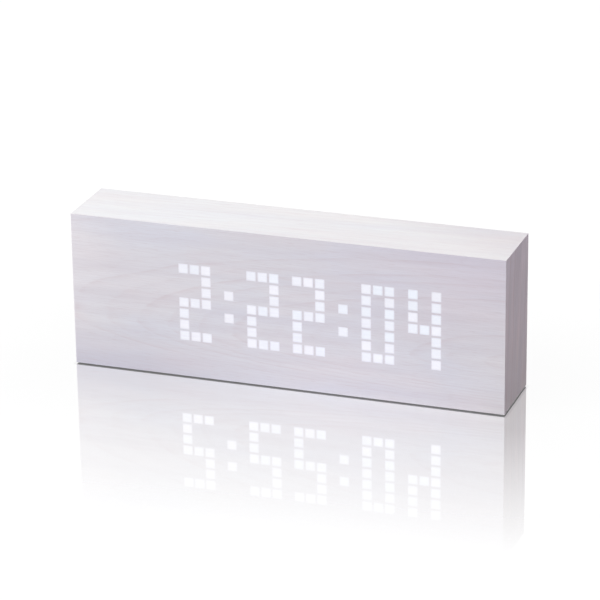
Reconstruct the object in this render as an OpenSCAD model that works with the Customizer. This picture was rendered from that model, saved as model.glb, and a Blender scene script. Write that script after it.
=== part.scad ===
// Digital alarm clock: a plain wood-grain block whose front veneer glows with a square-dot time display.
// X runs to the right as seen from the front, Y runs from the front to the back, and Z is up.
// The origin lies on the table under the middle of the case. All sizes are in millimetres.

/* [Time shown] */
// Hour on the display
shown_hour = 2; // [0:1:23]
// Minute on the display
shown_minute = 22; // [0:1:59]
// Second on the display
shown_second = 4; // [0:1:59]

/* [Case] */
// Width of the case
case_w = 225; // [220:1:260]
// Height of the case without its feet
case_h = 80; // [79:1:100]
// Depth of the case
case_d = 40; // [39.5:0.5:55]
// Thickness of the wood-grain veneer
veneer_t = 0.5; // [0.3:0.1:0.8]
// Thickness of the top, bottom and end boards
wall_t = 5; // [4:0.5:5.5]
// Thickness of the front board
front_board_t = 4.5; // [4:0.5:5.5]
// Thickness of the back board
back_board_t = 6; // [5:0.5:7]
// Side of the square glue blocks in the rear corners
block_side = 9; // [8:0.5:10]
// Length of the glue blocks from front to back
block_len = 14; // [12:1:16]
// Length of the screws that hold the back board
back_screw_len = 13; // [11:0.5:15]
// Height of the foot pads
foot_h = 0.6; // [0.4:0.1:2]
// Radius of the foot pads
foot_r = 6; // [4:0.5:8]
// Distance from the case's outer faces to each foot pad's centre
foot_inset = 9; // [8:0.5:16]

/* [Display] */
// Distance between neighbouring dots
dot_pitch = 5.95; // [5.6:0.05:6.3]
// Side of each square dot
dot_side = 5; // [4:0.1:5.2]
// Depth of the lit squares in the front veneer
lit_t = 0.2; // [0.1:0.05:0.25]
// Thickness of the diffuser sheet behind the front veneer
diffuser_t = 0.3; // [0.2:0.1:0.6]
// Wall round the outermost dots of the light baffle
baffle_rim = 1.5; // [1:0.1:2.5]
// Gap between the light baffle and the window in the front board
window_gap = 0.2; // [0.1:0.05:0.5]
// Width of the light baffle's mounting flange
flange_w = 6; // [5:0.5:7]
// Thickness of the light baffle's mounting flange
flange_t = 1.8; // [1.5:0.1:2.5]
// Thickness of both circuit boards
pcb_t = 1.6; // [1:0.1:2]
// Width of each LED
led_w = 3.5; // [2:0.1:3.8]
// Height of each LED
led_h = 2.8; // [1.5:0.1:3.8]
// Thickness of each LED
led_t = 1.9; // [0.8:0.1:2.2]
// Depth that the display's screws bite into the front board
display_bite = 3; // [2:0.1:3.4]
// Width of the ribbon cable
ribbon_w = 12.7; // [8:0.1:16]
// Thickness of the ribbon cable
ribbon_t = 0.9; // [0.6:0.1:1.2]

/* [Rear cover] */
// Width of the rear cover
cover_w = 168; // [166:1:180]
// Height of the rear cover
cover_h = 62; // [61.5:0.5:64]
// Thickness of the rear cover
cover_t = 2; // [1.9:0.1:2.5]
// Depth of the rear cover's face below the back of the case
cover_recess = 1; // [0.9:0.1:1.5]
// Corner radius of the rear cover
cover_corner_r = 3; // [1:0.5:5]
// Gap between the rear cover and its rebate
cover_gap = 0.25; // [0.1:0.05:0.4]
// Width of the rebate's ledge at each end of the rear cover
ledge_w = 8; // [7:0.5:8.5]
// Height of the rebate's ledge above and below the rear cover
ledge_h = 4; // [3:0.5:4]
// Length of the screws that hold the rear cover
cover_screw_len = 5; // [4:0.5:5.5]

/* [Battery bay] */
// Number of AAA cells
cell_count = 4; // [2:2:4]
// Diameter of a cell
cell_d = 10.5; // [10:0.1:10.6]
// Length of a cell with its button
cell_len = 44.5; // [43.5:0.1:45]
// Gap beside and between the cells
cell_gap = 0.3; // [0.2:0.05:0.35]
// Wall of the battery bay
bay_wall_t = 1.6; // [1.2:0.1:1.8]
// Thickness of the contact plates
contact_t = 0.4; // [0.3:0.05:0.6]
// Width of the contact plates
contact_w = 8; // [6:0.5:9]
// Length of the coil springs between plate and cell
spring_len = 5; // [4.5:0.1:6]
// Wire diameter of the coil springs
spring_wire_d = 0.7; // [0.5:0.05:0.8]
// Thickness of the battery door
door_t = 1.8; // [1.6:0.1:1.9]
// Lap of the battery door over the bay at both ends
door_lap = 3; // [2.5:0.1:3.2]
// Gap round the battery door
door_gap = 0.3; // [0.25:0.05:0.4]
// Radius of the battery door's hinge pins
hinge_pin_r = 0.8; // [0.6:0.05:0.85]
// Length of the battery door's hinge pins
hinge_pin_len = 2; // [1.5:0.1:2.4]

/* [Controls] */
// Width of the control board
board_w = 78; // [77:0.5:79]
// Height of the control board
board_h = 46; // [45:0.5:48]
// Radius of the buttons
button_r = 3.4; // [2.8:0.1:4]
// Distance between neighbouring buttons
button_pitch = 14; // [12:0.5:14.5]
// Height of the buttons above the rear cover
button_proud = 0.7; // [0.6:0.05:0.85]
// Travel of the buttons
button_travel = 0.5; // [0.2:0.05:0.55]
// Gap round the buttons and round the slide switch's knob
control_gap = 0.2; // [0.1:0.05:0.3]
// Travel of the slide switch
slide_travel = 2; // [1:0.1:3]
// Bore radius of the power jack
jack_bore_r = 3.1; // [2.8:0.05:3.3]
// Radius of the power jack's centre pin
jack_pin_r = 1; // [0.6:0.05:1.25]
// Length of the power jack's body
jack_len = 11; // [10.5:0.1:12]

/* [Hidden] */
$fn = 48;

// How far a cut runs on past the face that it leaves
cut_past = 1;

// Faces of the case
front_y = -case_d / 2;
back_y = case_d / 2;
base_z = foot_h;
top_z = base_z + case_h;
mid_z = base_z + case_h / 2;

// Wooden carcass inside the veneer, and the room inside its boards
core_w = case_w - 2 * veneer_t;
core_h = case_h - 2 * veneer_t;
core_front = front_y + veneer_t;
core_back = back_y - veneer_t;
inner_w = core_w - 2 * wall_t;
inner_h = core_h - 2 * wall_t;
front_board_back = core_front + front_board_t;
back_board_front = core_back - back_board_t;
block_x = (inner_w - block_side) / 2;
block_z = (inner_h - block_side) / 2;
back_screw_head_r = 2.6;
back_screw_shank_r = 1.3;

// Square-dot display: two digits, a colon, two digits, a colon and two digits
digit_columns = 3;
dot_rows = 7;
colon_rows = [2, 4];
hour_column = 0;
first_colon_column = 8;
minute_column = 10;
second_colon_column = 18;
second_column = 20;
dot_columns = second_column + 2 * digit_columns + 1;
dot_rib = dot_pitch - dot_side;

// Middle of the display, a little off the middle of the front
display_x = 0.5;
display_drop = 0.4;
display_z = mid_z - display_drop;

// Rows of each digit from its top, with a mark for each lit dot
digit_marks = [
    ["ooo", "o o", "o o", "o o", "o o", "o o", "ooo"],
    ["  o", "  o", "  o", "  o", "  o", "  o", "  o"],
    ["ooo", "  o", "  o", "ooo", "o  ", "o  ", "ooo"],
    ["ooo", "  o", "  o", "ooo", "  o", "  o", "ooo"],
    ["o o", "o o", "o o", "ooo", "  o", "  o", "  o"],
    ["ooo", "o  ", "o  ", "ooo", "  o", "  o", "ooo"],
    ["ooo", "o  ", "o  ", "ooo", "o o", "o o", "ooo"],
    ["ooo", "  o", "  o", "  o", "  o", "  o", "  o"],
    ["ooo", "o o", "o o", "ooo", "o o", "o o", "ooo"],
    ["ooo", "o o", "o o", "ooo", "  o", "  o", "ooo"],
];

// Display stack behind the front veneer
baffle_front = core_front + diffuser_t;
baffle_w = dot_columns * dot_pitch + dot_rib + 2 * baffle_rim;
baffle_h = dot_rows * dot_pitch + dot_rib + 2 * baffle_rim;
flange_back = front_board_back + flange_t;
led_board_back = flange_back + pcb_t;
display_screw_inset = 10;
display_screw_x = baffle_w / 2 - display_screw_inset;
display_screw_z = (baffle_h + flange_w) / 2;
display_screw_r = 1;
screw_play = 0.05;
through_play = 0.2;

// Rear cover and its rebate in the back board
cover_out = back_y - cover_recess;
cover_in = cover_out - cover_t;
rebate_w = cover_w + 2 * cover_gap;
rebate_h = cover_h + 2 * cover_gap;
back_opening_w = cover_w - 2 * ledge_w;
back_opening_h = cover_h - 2 * ledge_h;
cover_screw_x = (cover_w - ledge_w) / 2;
cover_screw_inset = 6;
cover_screw_z = cover_h / 2 - cover_screw_inset;
cover_screw_head_r = 2.1;
cover_screw_shank_r = 1.05;
screw_sink = 0.05;

// Battery bay, open to the rear and closed by a door that is hinged along its top edge
cell_pitch = cell_d + cell_gap;
bay_len = 2 * contact_t + spring_len + cell_len;
bay_h = cell_count * cell_pitch + cell_gap;
door_in = cover_out - door_t;
cell_y = door_in - cell_gap - cell_d / 2;
bay_floor_y = cell_y - cell_d / 2 - cell_gap / 2;
door_w = bay_len + 2 * door_lap;
hinge_recess_r = door_t + door_gap;
knuckle_trim = 0.1;
knuckle_r = door_t - knuckle_trim;
ear_w = 3.4;
frame_wall_t = 1;
frame_half_w = door_w / 2 + door_gap + ear_w;
frame_in = door_in - hinge_recess_r - frame_wall_t;
bay_x = -cover_w / 2 + ledge_w + cover_gap + frame_half_w;
bay_drop = 0.8;
bay_z = mid_z - bay_drop;
hinge_rise = 0.2;
hinge_z = bay_z + bay_h / 2 + door_t + hinge_rise;
hinge_play = 0.05;
door_low_lap = 2.1;
door_low = bay_z - bay_h / 2 - door_low_lap;
frame_high = hinge_z + hinge_recess_r + frame_wall_t;
frame_low = door_low - door_gap - frame_wall_t;
latch_r = 0.7;
latch_reach = 0.5;
latch_len = 8;
latch_x = 16;
latch_y = cover_out - door_t / 2;
thumb_r = 9;
thumb_depth = 1;
nub_r = 1.9;
nub_len = 1;
tag_w = 3;
tag_reach = 1.2;

// Control board, carried on bosses of the rear cover
board_side_gap = 1;
control_x = cover_w / 2 - ledge_w - cover_gap - board_side_gap - board_w / 2;
board_rear = cover_in - jack_len;
board_front = board_rear - pcb_t;
boss_inset = 4;
boss_x = board_w / 2 - boss_inset;
boss_z = board_h / 2 - boss_inset;
boss_r = 2.6;
board_screw_r = 0.9;
board_screw_bite = 5;
board_screw_end = board_rear + board_screw_bite;

// Places on the control board in X and Z, from its centre
button_rise = 10;
button_count = 4;
function button_place(i) = [(i - (button_count - 1) / 2) * button_pitch, button_rise];
lower_row = -9;
slide_x = -25;
slide_place = [slide_x, lower_row];
buzzer_x = -6;
buzzer_place = [buzzer_x, lower_row];
jack_x = 22;
jack_place = [jack_x, lower_row];
capacitor_x = 8.5;
capacitor_pitch = 8;
capacitor_places = [for (side = [-1, 1]) [capacitor_x, lower_row + side * capacitor_pitch / 2]];
mic_inset = 6.5;
mic_z = 6;
mic_place = [board_w / 2 - mic_inset, mic_z];
controller_x = 8;
controller_z = 8;
controller_place = [controller_x, controller_z];
chip_row = -8;
clock_x = 3;
clock_place = [clock_x, chip_row];
crystal_x = 9;
crystal_place = [crystal_x, chip_row];
backup_x = -20;
backup_place = [backup_x, 0];
header_x = 26;
header_z = -4;
lead_inset = 5;
lead_x = lead_inset - board_w / 2;
lead_z = 7;

// Buttons and the switches that they press
button_edge = 0.3;
button_collar_w = 1.2;
button_collar_r = button_r + button_collar_w;
button_collar_t = 1.2;
button_collar_gap = 0.1;
button_stem_r = 1.6;
switch_side = 6;
switch_h = 3.5;
plunger_r = 1.75;
plunger_reach = 5;
plunger_depth = 1.2;
plunger_gap = 0.1;
plunger_seat = switch_h - plunger_depth;

// Slide switch, power jack, buzzer and microphone
slide_body_w = 9;
slide_body_h = 4.6;
slide_body_t = 4.5;
slide_knob_w = 3;
slide_knob_h = 2;
slide_foot = 1.8;
slide_slot_w = slide_knob_w + slide_travel + 2 * control_gap;
slide_slot_h = slide_knob_h + 2 * control_gap;
jack_side = 9;
jack_bore_len = 9;
jack_pin_len = 7;
jack_lip = 0.4;
buzzer_r = 6;
buzzer_len = 9.5;
sound_hole_r = 0.7;
sound_ring_r = 3.5;
sound_ring_holes = 6;
mic_r = 3;
mic_len = 2.7;
mic_boot_t = 1.2;
mic_pin_r = 0.25;
mic_pin_x = 1.27;
mic_pin_end = 1;

// Coin cell that keeps the time, and its holder
backup_r = 10;
backup_t = 3.2;
backup_floor = 0.8;

// Ribbon cable between a low header on the display's board and a high one on the control board
ribbon_x = control_x + header_x;
ribbon_climb = 12;
ribbon_bend_r = 2;
header_len = 6;
header_h = 7;
header_rim = 2;
high_header_z = mid_z + header_z;
low_header_z = high_header_z - ribbon_climb;
ribbon_front_y = led_board_back + header_len / 2;
ribbon_back_y = board_front - header_len / 2;

// Drawing helpers

// Extrudes a drawing of X and Z along Y
module along_y(from, to) {
    translate([0, to, 0]) rotate([90, 0, 0]) linear_extrude(to - from) children();
}

// Extrudes a drawing of Y and Z along X
module along_x(from, to) {
    translate([from, 0, 0]) rotate([90, 0, 90]) linear_extrude(to - from) children();
}

module rect(x, z, w, h) {
    translate([x, z]) square([w, h], center = true);
}

module rounded_rect(x, z, w, h, r) {
    rect(x, z, w - 2 * r, h);
    rect(x, z, w, h - 2 * r);
    for (side_x = [-1, 1], side_z = [-1, 1])
        translate([x + side_x * (w / 2 - r), z + side_z * (h / 2 - r)]) circle(r);
}

// Round rod along Y
module rod_y(x, z, r, from, to) {
    translate([x, to, z]) rotate([90, 0, 0]) cylinder(r = r, h = to - from);
}

// Round rod along X
module rod_x(y, z, r, from, to) {
    translate([from, y, z]) rotate([0, 90, 0]) cylinder(r = r, h = to - from);
}

// Box between two faces in Y
module slab(x, z, w, h, from, to) {
    translate([x - w / 2, from, z - h / 2]) cube([w, to - from, h]);
}

// Repeats its children at the four corners of a rectangle in X and Z
module at_corners(x, z) {
    for (side_x = [-1, 1], side_z = [-1, 1]) translate([side_x * x, 0, side_z * z]) children();
}

// Moves its children to a place on the control board
module on_board(place) {
    translate([control_x + place[0], 0, mid_z + place[1]]) children();
}

// Crossed driver slots that sink to the given depth
module cross_slot(head_r, shank_r, depth) {
    for (turn = [0, 90]) rotate([0, 0, turn])
        cube([head_r * 1.3, shank_r / 2, 2 * depth], center = true);
}

// Countersunk screw with its face at the origin and its point towards -Y
module flat_screw(head_r, shank_r, len) {
    flare = head_r - shank_r;
    rotate([90, 0, 0]) difference() {
        rotate_extrude()
            polygon([[0, 0], [head_r, 0], [shank_r, flare], [shank_r, len - shank_r], [0, len]]);
        cross_slot(head_r, shank_r, flare * 0.7);
    }
}

// Hole for that screw, flared where it leaves the face
module flat_screw_hole(head_r, shank_r, len, play) {
    flare = head_r - shank_r;
    mouth = 3;
    rotate([90, 0, 0]) rotate_extrude()
        polygon([
            [0, -mouth], [head_r + play, -mouth], [head_r + play, 0],
            [shank_r + play, flare], [shank_r + play, len + play], [0, len + play],
        ]);
}

// Pan-head screw seated at the origin with its point towards -Y
module pan_screw(head_r, head_h, shank_r, len) {
    rotate([90, 0, 0]) difference() {
        rotate_extrude()
            polygon([
                [0, -head_h], [head_r * 0.8, -head_h], [head_r, -head_h * 0.6], [head_r, 0],
                [shank_r, 0], [shank_r, len - shank_r], [0, len],
            ]);
        translate([0, 0, -head_h]) cross_slot(head_r, shank_r, head_h / 2);
    }
}

// Surface-mount chip that stands on a board face at the origin and rises along +Y
module chip(w, h, t, legs) {
    leg_pitch = 1.27;
    leg_w = 0.45;
    leg_reach = 1;
    leg_root = 0.2;
    leg_h = t * 0.45;
    stand_off = 0.1;
    slab(0, 0, w, h, stand_off, t);
    for (i = [0 : legs - 1], side = [-1, 1])
        translate([(i - (legs - 1) / 2) * leg_pitch, 0, side * (h + leg_reach) / 2])
            slab(0, 0, leg_w, leg_reach + 2 * leg_root, 0, leg_h);
}

// Point on a smooth curve that leaves the start towards leave and reaches the end from arrive
function curve_point(share, start, leave, arrive, end) =
    pow(1 - share, 3) * start + 3 * share * pow(1 - share, 2) * leave
    + 3 * share * share * (1 - share) * arrive + pow(share, 3) * end;

// Round tube of a few sides along a list of points, with a reference direction for each ring
module tube(points, refs, r, sides) {
    last = len(points) - 1;
    function along(i) = points[min(i + 1, last)] - points[max(i - 1, 0)];
    function unit(v) = v / norm(v);
    rings = [
        for (i = [0 : last]) let (
            ahead = unit(along(i)),
            across = unit(cross(ahead, refs[i])),
            out = cross(across, ahead)
        ) for (j = [0 : sides - 1]) let (turn = 360 * j / sides)
            points[i] + r * (cos(turn) * out + sin(turn) * across)
    ];
    walls = [
        for (i = [0 : last - 1], j = [0 : sides - 1]) let (
            a = i * sides + j,
            b = i * sides + (j + 1) % sides
        ) each [[a, b, a + sides], [b, b + sides, a + sides]]
    ];
    start_cap = [for (j = [1 : sides - 2]) [0, j + 1, j]];
    end_cap = [for (j = [1 : sides - 2]) [last * sides, last * sides + j, last * sides + j + 1]];
    polyhedron(rings, concat(walls, start_cap, end_cap), convexity = 6);
}

// Display dots

function column_x(column) = display_x + (column - (dot_columns - 1) / 2) * dot_pitch;
function row_z(row) = display_z + ((dot_rows - 1) / 2 - row) * dot_pitch;
function digit_dots(digit, column) = [
    for (row = [0 : dot_rows - 1], i = [0 : digit_columns - 1])
        if (digit_marks[digit][row][i] == "o") [column + i, row]
];

// Both digits of a number, without a leading zero where the display blanks it
function number_dots(number, column, blank) = let (whole = floor(number), tens = floor(whole / 10)) concat(
    blank && tens == 0 ? [] : digit_dots(tens, column),
    digit_dots(whole % 10, column + digit_columns + 1)
);
hour_dots = number_dots(shown_hour, hour_column, true);
minute_dots = number_dots(shown_minute, minute_column, false);
second_dots = number_dots(shown_second, second_column, false);
colon_places = [for (column = [first_colon_column, second_colon_column], row = colon_rows) [column, row]];

module dot_squares(dots, w, h) {
    for (dot = dots) rect(column_x(dot[0]), row_z(dot[1]), w, h);
}

module every_dot(w, h) {
    dot_squares([for (column = [0 : dot_columns - 1], row = [0 : dot_rows - 1]) [column, row]], w, h);
}

// Lit squares, flush with the front of the veneer
module lit_dots(dots) {
    color("#f6f7ff") along_y(front_y, front_y + lit_t) dot_squares(dots, dot_side, dot_side);
}

module hour_digits() { lit_dots(hour_dots); }
module minute_digits() { lit_dots(minute_dots); }
module second_digits() { lit_dots(second_dots); }
module colon_dots() { lit_dots(colon_places); }

// Veneer, mitred where the front and back sheets meet the wrapped sheet

// Face sheet that narrows at 45 degrees from its outer face at outer_y to the carcass at inner_y
module mitred_sheet(outer_y, inner_y) {
    intersection() {
        translate([0, 0, base_z]) linear_extrude(case_h) polygon([
            [-case_w / 2, outer_y], [case_w / 2, outer_y], [core_w / 2, inner_y], [-core_w / 2, inner_y],
        ]);
        along_x(-case_w / 2, case_w / 2) polygon([
            [outer_y, base_z], [outer_y, top_z], [inner_y, top_z - veneer_t], [inner_y, base_z + veneer_t],
        ]);
    }
}

module front_veneer() {
    color("#d8d4dc") difference() {
        mitred_sheet(front_y, core_front);
        along_y(front_y - cut_past, front_y + lit_t)
            dot_squares(concat(hour_dots, minute_dots, second_dots, colon_places), dot_side, dot_side);
    }
}

module wrap_veneer() {
    color("#efedf0") difference() {
        slab(0, mid_z, case_w, case_h, front_y, back_y);
        slab(0, mid_z, core_w, core_h, front_y - cut_past, back_y + cut_past);
        mitred_sheet(front_y, core_front);
        mitred_sheet(back_y, core_back);
    }
}

module back_veneer() {
    color("#d8d4dc") difference() {
        mitred_sheet(back_y, core_back);
        along_y(core_back - cut_past, back_y + cut_past)
            rounded_rect(0, mid_z, rebate_w, rebate_h, cover_corner_r);
        back_screw_holes();
    }
}

// Carcass boards

module front_board() {
    window_w = baffle_w + 2 * window_gap;
    window_h = baffle_h + 2 * window_gap;
    pilot_end = front_board_back - display_bite - screw_play;
    color("#b8936a") difference() {
        slab(0, mid_z, inner_w, inner_h, core_front, front_board_back);
        slab(display_x, display_z, window_w, window_h, core_front - cut_past, front_board_back + cut_past);
        at_display_screws()
            rod_y(0, 0, display_screw_r + screw_play, pilot_end, front_board_back + cut_past);
    }
}

// Top or bottom board, mitred at both ends
module flat_board(outer_z, inner_z) {
    color("#b8936a") along_y(core_front, core_back) polygon([
        [-core_w / 2, outer_z], [core_w / 2, outer_z], [inner_w / 2, inner_z], [-inner_w / 2, inner_z],
    ]);
}

module top_board() { flat_board(top_z - veneer_t, top_z - veneer_t - wall_t); }
module bottom_board() { flat_board(base_z + veneer_t, base_z + veneer_t + wall_t); }

// Left or right board, mitred at both ends
module end_board(side) {
    color("#b8936a") along_y(core_front, core_back) polygon([
        [side * core_w / 2, mid_z - core_h / 2], [side * core_w / 2, mid_z + core_h / 2],
        [side * inner_w / 2, mid_z + inner_h / 2], [side * inner_w / 2, mid_z - inner_h / 2],
    ]);
}

module left_board() { end_board(-1); }
module right_board() { end_board(1); }

module back_board() {
    color("#b8936a") difference() {
        slab(0, mid_z, inner_w, inner_h, back_board_front, core_back);
        along_y(cover_in, back_y + cut_past) rounded_rect(0, mid_z, rebate_w, rebate_h, cover_corner_r);
        slab(0, mid_z, back_opening_w, back_opening_h, back_board_front - cut_past, cover_in + cut_past);
        back_screw_holes();
        cover_screw_holes();
    }
}

module corner_blocks() {
    color("#c9a878") difference() {
        translate([0, 0, mid_z]) at_corners(block_x, block_z)
            slab(0, 0, block_side, block_side, back_board_front - block_len, back_board_front);
        back_screw_holes();
    }
}

module at_back_screws() {
    translate([0, back_y - screw_sink, mid_z]) at_corners(block_x, block_z) children();
}

module back_screw_holes() {
    at_back_screws() flat_screw_hole(back_screw_head_r, back_screw_shank_r, back_screw_len, screw_play);
}

module back_screws() {
    color("#8d9196") at_back_screws() flat_screw(back_screw_head_r, back_screw_shank_r, back_screw_len);
}

module foot_pads() {
    color("#3a3a3e")
        for (side_x = [-1, 1], side_y = [-1, 1])
            translate([side_x * (case_w / 2 - foot_inset), side_y * (case_d / 2 - foot_inset), 0])
                cylinder(r = foot_r, h = foot_h);
}

// Display stack

module at_display_screws() {
    for (x = [-display_screw_x, 0, display_screw_x], side = [-1, 1])
        translate([display_x + x, 0, display_z + side * display_screw_z]) children();
}

module display_screw_holes() {
    hole_r = display_screw_r + through_play;
    at_display_screws() rod_y(0, 0, hole_r, front_board_back - cut_past, led_board_back + cut_past);
}

module diffuser_sheet() {
    color("#eceef2") slab(display_x, display_z, baffle_w, baffle_h, core_front, baffle_front);
}

// Outline that the baffle's flange and the LED board share
module flange_slab(from, to) {
    slab(display_x, display_z, baffle_w + 2 * flange_w, baffle_h + 2 * flange_w, from, to);
}

module light_baffle() {
    color("#f2f2f0") difference() {
        union() {
            slab(display_x, display_z, baffle_w, baffle_h, baffle_front, flange_back);
            flange_slab(front_board_back, flange_back);
        }
        along_y(baffle_front - cut_past, flange_back + cut_past) every_dot(dot_side, dot_side);
        display_screw_holes();
    }
}

module led_board() {
    color("#1e6a3c") difference() {
        flange_slab(flange_back, led_board_back);
        display_screw_holes();
    }
}

module leds() {
    color("#fbf6d8") along_y(flange_back - led_t, flange_back) every_dot(led_w, led_h);
}

module led_drivers() {
    driver_w = 15.4;
    driver_h = 7.5;
    driver_t = 2.3;
    driver_legs = 12;
    driver_pitch = 40;
    color("#2b2b2d") for (i = [-1.5 : 1.5])
        translate([display_x + i * driver_pitch, led_board_back, display_z])
            chip(driver_w, driver_h, driver_t, driver_legs);
}

module display_screws() {
    head_r = 2;
    head_h = 1.4;
    color("#b9bcc0") at_display_screws() translate([0, led_board_back, 0])
        pan_screw(head_r, head_h, display_screw_r, pcb_t + flange_t + display_bite);
}

// Ribbon cable, in an S from the side of one header to the side of the other

module ribbon_headers() {
    header_w = ribbon_w + 2 * header_rim;
    color("#e4dfd0") {
        slab(ribbon_x, low_header_z, header_w, header_h, led_board_back, led_board_back + header_len);
        slab(ribbon_x, high_header_z, header_w, header_h, board_front - header_len, board_front);
    }
}

// Quarter of a ring round (y, z), in the quadrant that the two signs give
module quarter_ring(y, z, r, side_y, side_z) {
    far = 2 * r;
    translate([y, z]) intersection() {
        difference() {
            circle(r + ribbon_t / 2);
            circle(r - ribbon_t / 2);
        }
        translate([side_y * far / 2, side_z * far / 2]) square(far, center = true);
    }
}

module ribbon_cable() {
    low_z = low_header_z + header_h / 2;
    high_z = high_header_z - header_h / 2;
    run_z = (low_z + high_z) / 2;
    bend_r = min(ribbon_bend_r, run_z - low_z, (ribbon_back_y - ribbon_front_y) / 2);
    rise = run_z - low_z - bend_r;
    run = ribbon_back_y - ribbon_front_y - 2 * bend_r;
    color("#9aa0a8") along_x(ribbon_x - ribbon_w / 2, ribbon_x + ribbon_w / 2) {
        translate([ribbon_front_y - ribbon_t / 2, low_z]) square([ribbon_t, rise]);
        quarter_ring(ribbon_front_y + bend_r, run_z - bend_r, bend_r, -1, 1);
        translate([ribbon_front_y + bend_r, run_z - ribbon_t / 2]) square([run, ribbon_t]);
        quarter_ring(ribbon_back_y - bend_r, run_z + bend_r, bend_r, 1, -1);
        translate([ribbon_back_y - ribbon_t / 2, high_z - rise]) square([ribbon_t, rise]);
    }
}

// Rear cover

module at_cover_screws() {
    translate([0, cover_out - screw_sink, mid_z]) at_corners(cover_screw_x, cover_screw_z) children();
}

module cover_screw_holes() {
    at_cover_screws() flat_screw_hole(cover_screw_head_r, cover_screw_shank_r, cover_screw_len, screw_play);
}

module at_board_screws() {
    translate([control_x, 0, mid_z]) at_corners(boss_x, boss_z) children();
}

// Solid parts of the rear cover, before the openings are cut
module rear_cover_body() {
    cover_middle = (cover_in + cover_out) / 2;
    along_y(cover_in, cover_out) rounded_rect(0, mid_z, cover_w, cover_h, cover_corner_r);
    translate([bay_x, 0, (frame_low + frame_high) / 2])
        slab(0, 0, 2 * frame_half_w, frame_high - frame_low, frame_in, cover_middle);
    at_board_screws() rod_y(0, 0, boss_r, board_rear, cover_middle);
}

// Space for the cells, open to the rear
module bay_space() {
    slab(bay_x, bay_z, bay_len, bay_h, bay_floor_y, cover_out + cut_past);
}

// Space for the battery door, its hinge, its latch ribs and a thumb
module door_space() {
    space_w = door_w + 2 * door_gap;
    space_low = door_low - door_gap;
    space_high = hinge_z + hinge_recess_r + knuckle_trim;
    translate([bay_x, 0, (space_low + space_high) / 2])
        slab(0, 0, space_w, space_high - space_low, door_in, cover_out + cut_past);
    door_rod(hinge_recess_r, space_w / 2);
    door_rod(hinge_pin_r + hinge_play, door_w / 2 + hinge_pin_len + door_gap);
    latch_ribs(door_gap / 2, door_gap);
    rod_y(bay_x, door_low + thumb_r / 2, thumb_r, cover_out - thumb_depth, cover_out + cut_past);
}

// Rod on the battery door's hinge axis, of a half length to both sides of the door's middle
module door_rod(r, half_len) {
    rod_x(door_in, hinge_z, r, bay_x - half_len, bay_x + half_len);
}

// Ribs that hold the battery door shut, or with some play the grooves for them
module latch_ribs(play, end_play) {
    half_len = latch_len / 2 + end_play;
    for (side = [-1, 1]) translate([bay_x + side * latch_x, 0, 0])
        rod_x(latch_y, door_low + latch_r - latch_reach, latch_r + play, -half_len, half_len);
}

module sound_holes() {
    on_board(buzzer_place) {
        cover_hole(sound_hole_r);
        for (i = [1 : sound_ring_holes]) rotate([0, 360 * i / sound_ring_holes, 0])
            translate([sound_ring_r, 0, 0]) cover_hole(sound_hole_r);
    }
    on_board(mic_place) cover_hole(sound_hole_r);
}

// Round hole right through the rear cover's plate
module cover_hole(r) {
    rod_y(0, 0, r, cover_in - cut_past, cover_out + cut_past);
}

module rear_cover() {
    color("#2c2d30") difference() {
        rear_cover_body();
        bay_space();
        door_space();
        for (i = [0 : button_count - 1]) on_board(button_place(i)) cover_hole(button_r + control_gap);
        on_board(slide_place)
            slab(0, 0, slide_slot_w, slide_slot_h, cover_in - cut_past, cover_out + cut_past);
        on_board(jack_place) cover_hole(jack_bore_r + jack_lip);
        sound_holes();
        at_board_screws()
            rod_y(0, 0, board_screw_r + screw_play, board_rear - cut_past, board_screw_end + screw_play);
        cover_screw_holes();
    }
}

module cover_screws() {
    color("#77797d") at_cover_screws() flat_screw(cover_screw_head_r, cover_screw_shank_r, cover_screw_len);
}

// Battery bay

// Box that holds the cells, welded by its rim to the frame behind the rear cover's opening
module battery_box() {
    box_w = bay_len + 2 * bay_wall_t;
    box_h = bay_h + 2 * bay_wall_t;
    color("#2c2d30") difference() {
        slab(bay_x, bay_z, box_w, box_h, bay_floor_y - bay_wall_t, frame_in);
        bay_space();
        tag_slots();
    }
}

module battery_door() {
    color("#2c2d30") {
        slab(bay_x, (door_low + hinge_z) / 2, door_w, hinge_z - door_low, door_in, cover_out);
        door_rod(knuckle_r, door_w / 2);
        door_rod(hinge_pin_r, door_w / 2 + hinge_pin_len);
        latch_ribs(0, 0);
    }
}

function cell_z(i) = bay_z + (i - (cell_count - 1) / 2) * cell_pitch;

// The cells lie head to tail: +1 where a cell's button points to +X
function cell_way(i) = i % 2 == 0 ? -1 : 1;
bay_end = bay_len / 2 - contact_t;

module battery_cells() {
    can_len = cell_len - nub_len;
    color("#c5a24a") for (i = [0 : cell_count - 1])
        translate([bay_x, cell_y, cell_z(i)]) rotate([0, 0, cell_way(i) > 0 ? 0 : 180])
            translate([bay_end - cell_len, 0, 0]) rotate([0, 90, 0]) {
                cylinder(r = cell_d / 2, h = can_len);
                cylinder(r = nub_r, h = cell_len);
            }
}

// Coil springs that taper from the plate to the cell
spring_base_r = 3.4;
spring_tip_r = 2.2;
spring_turns = 3.5;
spring_rings = 8;
spring_sides = 6;
spring_clearance = 0.02;
spring_seat = spring_wire_d / 2 + spring_clearance;
spring_steps = spring_turns * spring_rings;
function spring_angle(i) = 360 * i / spring_rings;
function spring_ref(i) = [0, cos(spring_angle(i)), sin(spring_angle(i))];
spring_points = [
    for (i = [0 : spring_steps]) let (share = i / spring_steps)
        [spring_seat + share * (spring_len - 2 * spring_seat), 0, 0]
        + (spring_base_r + share * (spring_tip_r - spring_base_r)) * spring_ref(i)
];
spring_refs = [for (i = [0 : spring_steps]) spring_ref(i)];

// Least gap between two coils, measured on the points of the wire that lie half a turn or more apart
spring_gap = min([
    for (i = [0 : spring_steps], j = [i + spring_rings / 2 : spring_steps])
        norm(spring_points[i] - spring_points[j])
]) - spring_wire_d;
echo(spring_gap = spring_gap);

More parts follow.
